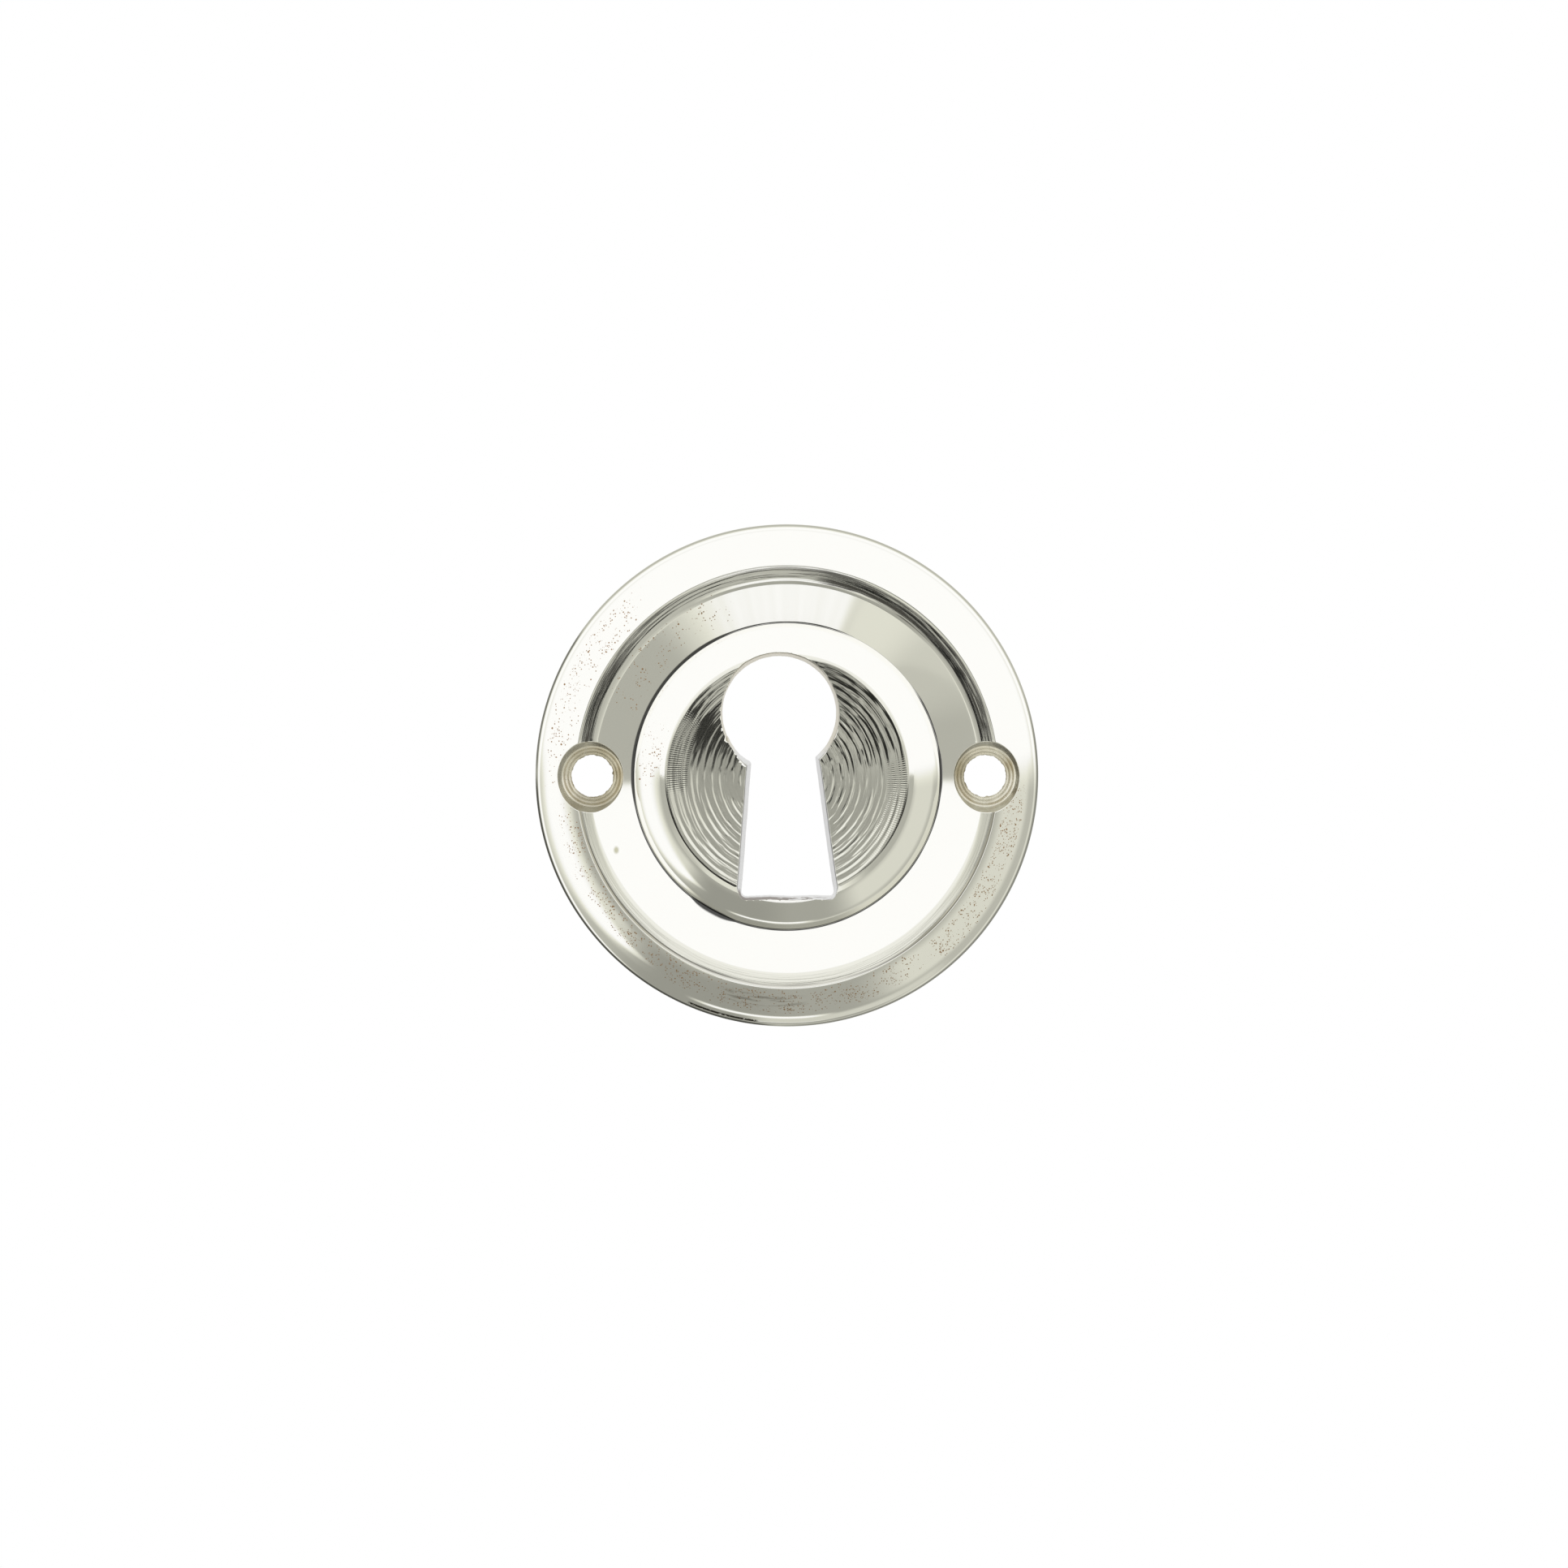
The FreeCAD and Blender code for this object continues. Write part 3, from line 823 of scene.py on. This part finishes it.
class Face:
    """Places on the plate's front in millimetres, from which the patterns on it are made."""

    def __init__(self, tree):
        self.tree = tree
        place = tree.nodes.new("ShaderNodeTexCoord")
        self.x, self.y, self.z = (part * (1 / MM) for part in split(tree, place.outputs["Object"]))
        self.dial = Dial(self.x, self.z)
        self.point = joined(tree, self.x, self.y, self.z)
        self.left_bore, self.right_bore = (Dial(self.x - axis, self.z) for axis in SCREW_AXES)
        self.bore = self.left_bore.reach.lowest(self.right_bore.reach)

    def around(self, fine, along, detail=3.0, rough=0.5):
        """Random values drawn out along circles about the plate's axis."""
        reach, right, up = self.dial.reach, self.dial.right, self.dial.up
        place = joined(self.tree, reach * fine, right * along, up * along)
        return noise(self.tree, place, 1.0, detail, rough)


def front_relief(face, seat):
    """Height in millimetres of the marks that turning and polishing left on the front."""
    reach, right, up = face.dial.reach, face.dial.right, face.dial.up
    sector, around = face.dial.sector, face.around
    # Lathe rings on the disc: an uneven ripple, broken streaks across it, chatter at its edge
    depth = around(1.3, 2.6, 2.0).ramp(0.30, 0.60)
    wander = around(0.5, 1.1, 2.0)
    ring = (reach * (2 * math.pi / DISC_RING) + wander * 4.0).math("SINE")
    ring = ring + (reach * (2 * math.pi / FINE_DISC_RING) - wander * 7.0).math("SINE") * 0.4
    disc = reach.ramp(10.05, 9.9)
    turn = right.math("ARCTAN2", up)
    chatter = (turn * 330.0 + reach * 2.0).math("SINE") * reach.between(8.6, 9.9, 0.5)
    chatter = chatter * sector(112.0, 22.0, 14.0).highest(sector(283.0, 14.0, 10.0))
    depth = depth * up.ramp(-0.25, 0.25).mix(0.62, 1.0)
    level = ring * depth * 0.0036 + around(3.6, 2.0, 2.0) * 0.006 + chatter * 0.0006
    calm = sector(304.0, 13.0, 14.0) * reach.ramp(9.0, 8.0)
    level = level * disc * calm.mix(1.0, 0.62)
    # Polishing streaks round the land, faint ones everywhere else, and turned rings in the seats
    land = reach.between(16.3, 17.5, 0.2)
    land = land * up.ramp(-0.2, 0.1).mix(0.12, 1.0)
    level = level + around(4.5, 1.6, 2.0, 0.55) * (land * 0.010 + 0.0003)
    return level + (face.bore * (2 * math.pi / SEAT_RING)).math("SINE") * seat * 0.006


def plating_pits(face):
    """Pits in the plating of the beads and the hollow, thickest where it has been handled."""
    tree, point = face.tree, face.point
    reach, sector = face.dial.reach, face.dial.sector
    clumps = noise(tree, point, 0.8, 3.0).ramp(0.36, 0.62)
    right_low = sector(116.0, 19.0, 10.0) * reach.between(18.4, 19.6, 0.5)
    low = sector(180.0, 30.0, 8.0) * reach.between(18.1, 19.4, 0.5) * 0.8
    left_low = sector(230.0, 26.0, 10.0) * reach.between(17.9, 19.1, 0.4) * 0.9
    left = sector(294.0, 17.0, 14.0) * reach.between(18.2, 19.8, 0.5) * 0.42
    inner = sector(280.0, 9.0, 8.0) * reach.between(10.7, 12.2, 0.4) * 0.45
    hollow = sector(318.0, 16.0, 12.0) * reach.between(13.8, 16.0, 0.5) * 0.3
    zone = right_low.highest(low).highest(left_low).highest(left).highest(inner).highest(hollow)
    share = zone * (clumps * 0.75 + 0.06)
    large = spots(tree, point, 7.5, share, 0.15, 0.50)
    return large.highest(spots(tree, point, 4.0, share * 0.3, 0.14, 0.38))


def bead_smudge(face):
    """A smudge on the outer bead, below the keyhole."""
    smudge = face.around(4.5, 6.0, 3.0, 0.6).ramp(0.47, 0.60) * face.dial.sector(186.0, 6.0, 6.0)
    return smudge * face.dial.reach.between(18.4, 19.0, 0.3)


def painted_crevice_shade(face):
    """Painted shade in the crevice at the foot of the inner bead, wide in places and gone in one."""
    sector = face.dial.sector
    wide = sector(299.0, 28.0, 14.0) * 0.085 + sector(209.0, 1.0, 9.0) * 0.18
    wide = wide + sector(88.0, 2.0, 8.0) * 0.05 + face.around(1.0, 4.0) * 0.06 + 0.02
    return line_at(face.dial.reach, 12.86, wide) * (1.0 - sector(40.0, 12.0, 10.0))


def tarnish_and_painted_shade(face):
    """Painted shade on the crest's step, a painted dark reflection on the land beside it, faint wear
    on the land, and a row of marks near the rim.
    """
    reach, up = face.dial.reach, face.dial.up
    sector, around = face.dial.sector, face.around
    # Painted shade in lines along the step: one at its foot at the lower left, one near its top at
    # the lower right
    foot = line_at(reach, 17.32, 0.05) * sector(224.0, 24.0, 14.0) * 0.75
    top = line_at(reach, 17.47, 0.05) * sector(126.0, 22.0, 20.0) * 0.6
    # Streaks up the step's side, painted shade heaviest on its upper half, and a painted dark
    # reflection in strokes packed on the land at the upper right and left
    streaks = around(8.0, 2.4, 3.0, 0.6)
    side = streaks.ramp(0.44, 0.56) * reach.between(17.22, 17.40, 0.06)
    side = side * sector(356.0, 6.0, 10.0).mix(0.85, 0.4) * up.ramp(-0.15, 0.1).mix(0.5, 1.0)
    # Painted dark reflection, drawn as broken strokes on the land's upper arcs
    starts = sector(28.0, 8.0, 28.0).mix(16.66, 16.27)
    painted_reflection_strokes = around(3.4, 2.2, 3.0, 0.6).ramp(0.46, 0.52) * (reach - starts).ramp(-0.08, 0.06)
    painted_reflection_strokes = painted_reflection_strokes * reach.ramp(17.3, 17.2) * around(16.0, 3.0, 3.0, 0.6).ramp(0.34, 0.46)
    painted_reflection_strokes = painted_reflection_strokes * sector(44.0, 31.0, 5.0).highest(sector(290.0, 10.0, 12.0))
    worn = streaks.ramp(0.54, 0.66) * reach.between(16.6, 17.3, 0.3) * sector(180.0, 78.0, 10.0)
    beads = noise(face.tree, face.point, 5.0, 1.0).ramp(0.30, 0.42)
    edge = reach.between(20.52, 20.66, 0.03) * sector(195.2, 7.6, 1.2) * beads
    tarnish_and_shade = foot.highest(top).highest(side * 0.9).highest(painted_reflection_strokes * 0.92).highest(worn * 0.08)
    return tarnish_and_shade.highest(edge)


def seat_colour(face):
    """Bare brass in the countersinks, turned in rings, with a painted highlight near the top of each
    and painted shade low in the left one and on the right one's inner side.
    """
    tree = face.tree
    turned = noise(tree, joined(tree, face.bore * 4.5, 0.0, 0.0), 1.0, 1.0)
    shade = (turned + noise(tree, face.point, 0.55, 2.0) * 1.2).ramp(0.75, 1.35)
    left, right = face.left_bore.sector, face.right_bore.sector
    on_right = face.x.ramp(-1.0, 1.0)
    # Painted highlight near the top of each countersink; painted shade low in the left one and on the
    # right one's inner side
    seat_highlight = on_right.mix(left(312.0, 42.0, 38.0) * 0.6, right(0.0, 28.0, 40.0))
    seat_shade = on_right.mix(left(178.0, 28.0, 32.0), right(282.0, 25.0, 32.0))
    brass = tinted(tree, shade, *BRASS)
    brass = tinted(tree, seat_highlight * 0.75, brass, BRASS_PAINTED_HIGHLIGHT)
    return tinted(tree, seat_shade * 0.5, brass, BRASS_PAINTED_SHADE)


def cut_colour(face):
    """The keyhole's sawn wall: grey along the slot, brassy in the bow, rusty at the foot."""
    x, y, z = face.x, face.y, face.z
    corner = Dial(x + 3.8, z + 10.0).reach.ramp(0.9, 0.3)
    rust = (noise(face.tree, face.point, 1.4, 3.0) - x * 0.05).ramp(0.37, 0.49)
    rust = (rust * 0.95).highest(corner) * z.ramp(-9.2, -9.7) * y.ramp(-0.9, -1.5)
    sawn = tinted(face.tree, z.ramp(1.5, 3.0), SAWN_SLOT, SAWN_BOW)
    return tinted(face.tree, rust, sawn, RUSTED)


def front_metal():
    """Polished nickel, pitted and tarnished, with painted shade and a painted reflection in places,
    and bare metal in the holes.
    """
    made, tree, surface = metal("nickel_polished", NICKEL, 0.07)
    face = Face(tree)
    reach, up = face.dial.reach, face.dial.up
    seat, cut = mask(tree, "seat"), mask(tree, "cut")
    bump(tree, surface, front_relief(face, seat), MM)
    pits, tarnish_and_shade, crevice = plating_pits(face), tarnish_and_painted_shade(face), painted_crevice_shade(face)
    # A spot of green in the hollow at the lower left, and a band of painted shade on the step's lower
    # half
    drop = Dial(face.x + 14.19, (face.z + 6.09) * 0.7).reach.ramp(0.30, 0.08)
    shaded_step = reach.between(17.34, 17.50, 0.06) * up.ramp(0.0, -0.15)
    shaded_step = shaded_step * face.dial.sector(180.0, 24.0, 20.0).mix(0.7, 0.4)
    colour = tinted(tree, pits * 0.9, NICKEL, PITTED)
    colour = tinted(tree, bead_smudge(face) * 0.4, colour, SMUDGED)
    colour = tinted(tree, drop * 0.7, colour, GREENED)
    colour = tinted(tree, shaded_step, colour, STEP_SHADE)
    # Tarnish, painted shade on the step and a painted dark reflection on the land
    colour = tinted(tree, tarnish_and_shade, colour, TARNISH_AND_SHADE)
    # Painted shade in the crevice at the inner bead's foot
    colour = tinted(tree, crevice * 0.93, colour, CREVICE_SHADE)
    colour = tinted(tree, seat, colour, seat_colour(face))
    colour = tinted(tree, cut, colour, cut_colour(face))
    tree.links.new(colour, surface.inputs["Base Color"])
    rough = pits * 0.4 + crevice * 0.3 + tarnish_and_shade * 0.2 + seat * 0.27 + cut * 0.28 + 0.06
    tree.links.new(rough.socket, surface.inputs["Roughness"])
    return made


def back_metal():
    """The cast back: nickelled but never polished, thin over the brass and stained."""
    made, tree, surface = metal("nickel_cast", (0.50, 0.48, 0.42), 0.38)
    place = tree.nodes.new("ShaderNodeTexCoord").outputs["Object"]
    grain = noise(tree, place, 2500.0, 4.0, 0.6)
    bump(tree, surface, grain, 0.00004)
    thin = noise(tree, place, 260.0, 5.0, 0.6).ramp(0.44, 0.72)
    stain = noise(tree, place, 1500.0, 3.0, 0.6).ramp(0.50, 0.78)
    colour = tinted(tree, grain.ramp(0.32, 0.68), *CAST_GRAIN)
    colour = tinted(tree, thin * 0.28, colour, THIN_PLATING)
    colour = tinted(tree, stain * 0.22, colour, BACK_STAIN)
    tree.links.new(colour, surface.inputs["Base Color"])
    tree.links.new((stain * 0.2 + thin * 0.06 + 0.34).socket, surface.inputs["Roughness"])
    return made


plate = plate_object()
plate.data.materials.append(front_metal())
plate.data.materials.append(back_metal())
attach(plate, "root")
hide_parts(NODE)

white_room()
studio_light("light_tent", *tent_dome(), tent_pattern)
studio_light("front_panel", *panel_ring(), panel_pattern)
pale_floor()

# The camera looks a little down on the plate, which is low and right of the picture's middle
PICTURE_WIDTH = 130.8
LENS = 120.0
SENSOR = 36.0
ELEVATION = math.radians(3.0)
AIM = Vector((-0.24, -0.9, -0.67))


def add_camera():
    """A long lens straight in front of the plate."""
    data = bpy.data.cameras.new("camera")
    data.lens = LENS
    data.sensor_width = SENSOR
    data.clip_start = 0.01
    camera = bpy.data.objects.new("camera", data)
    bpy.context.scene.collection.objects.link(camera)
    distance = PICTURE_WIDTH * LENS / SENSOR
    back = Vector((0.0, -math.cos(ELEVATION), math.sin(ELEVATION)))
    camera.location = (AIM + back * distance) * MM
    camera.rotation_euler = (math.pi / 2 - ELEVATION, 0.0, 0.0)
    bpy.context.scene.camera = camera


add_camera()
bpy.context.scene.view_settings.view_transform = "Standard"
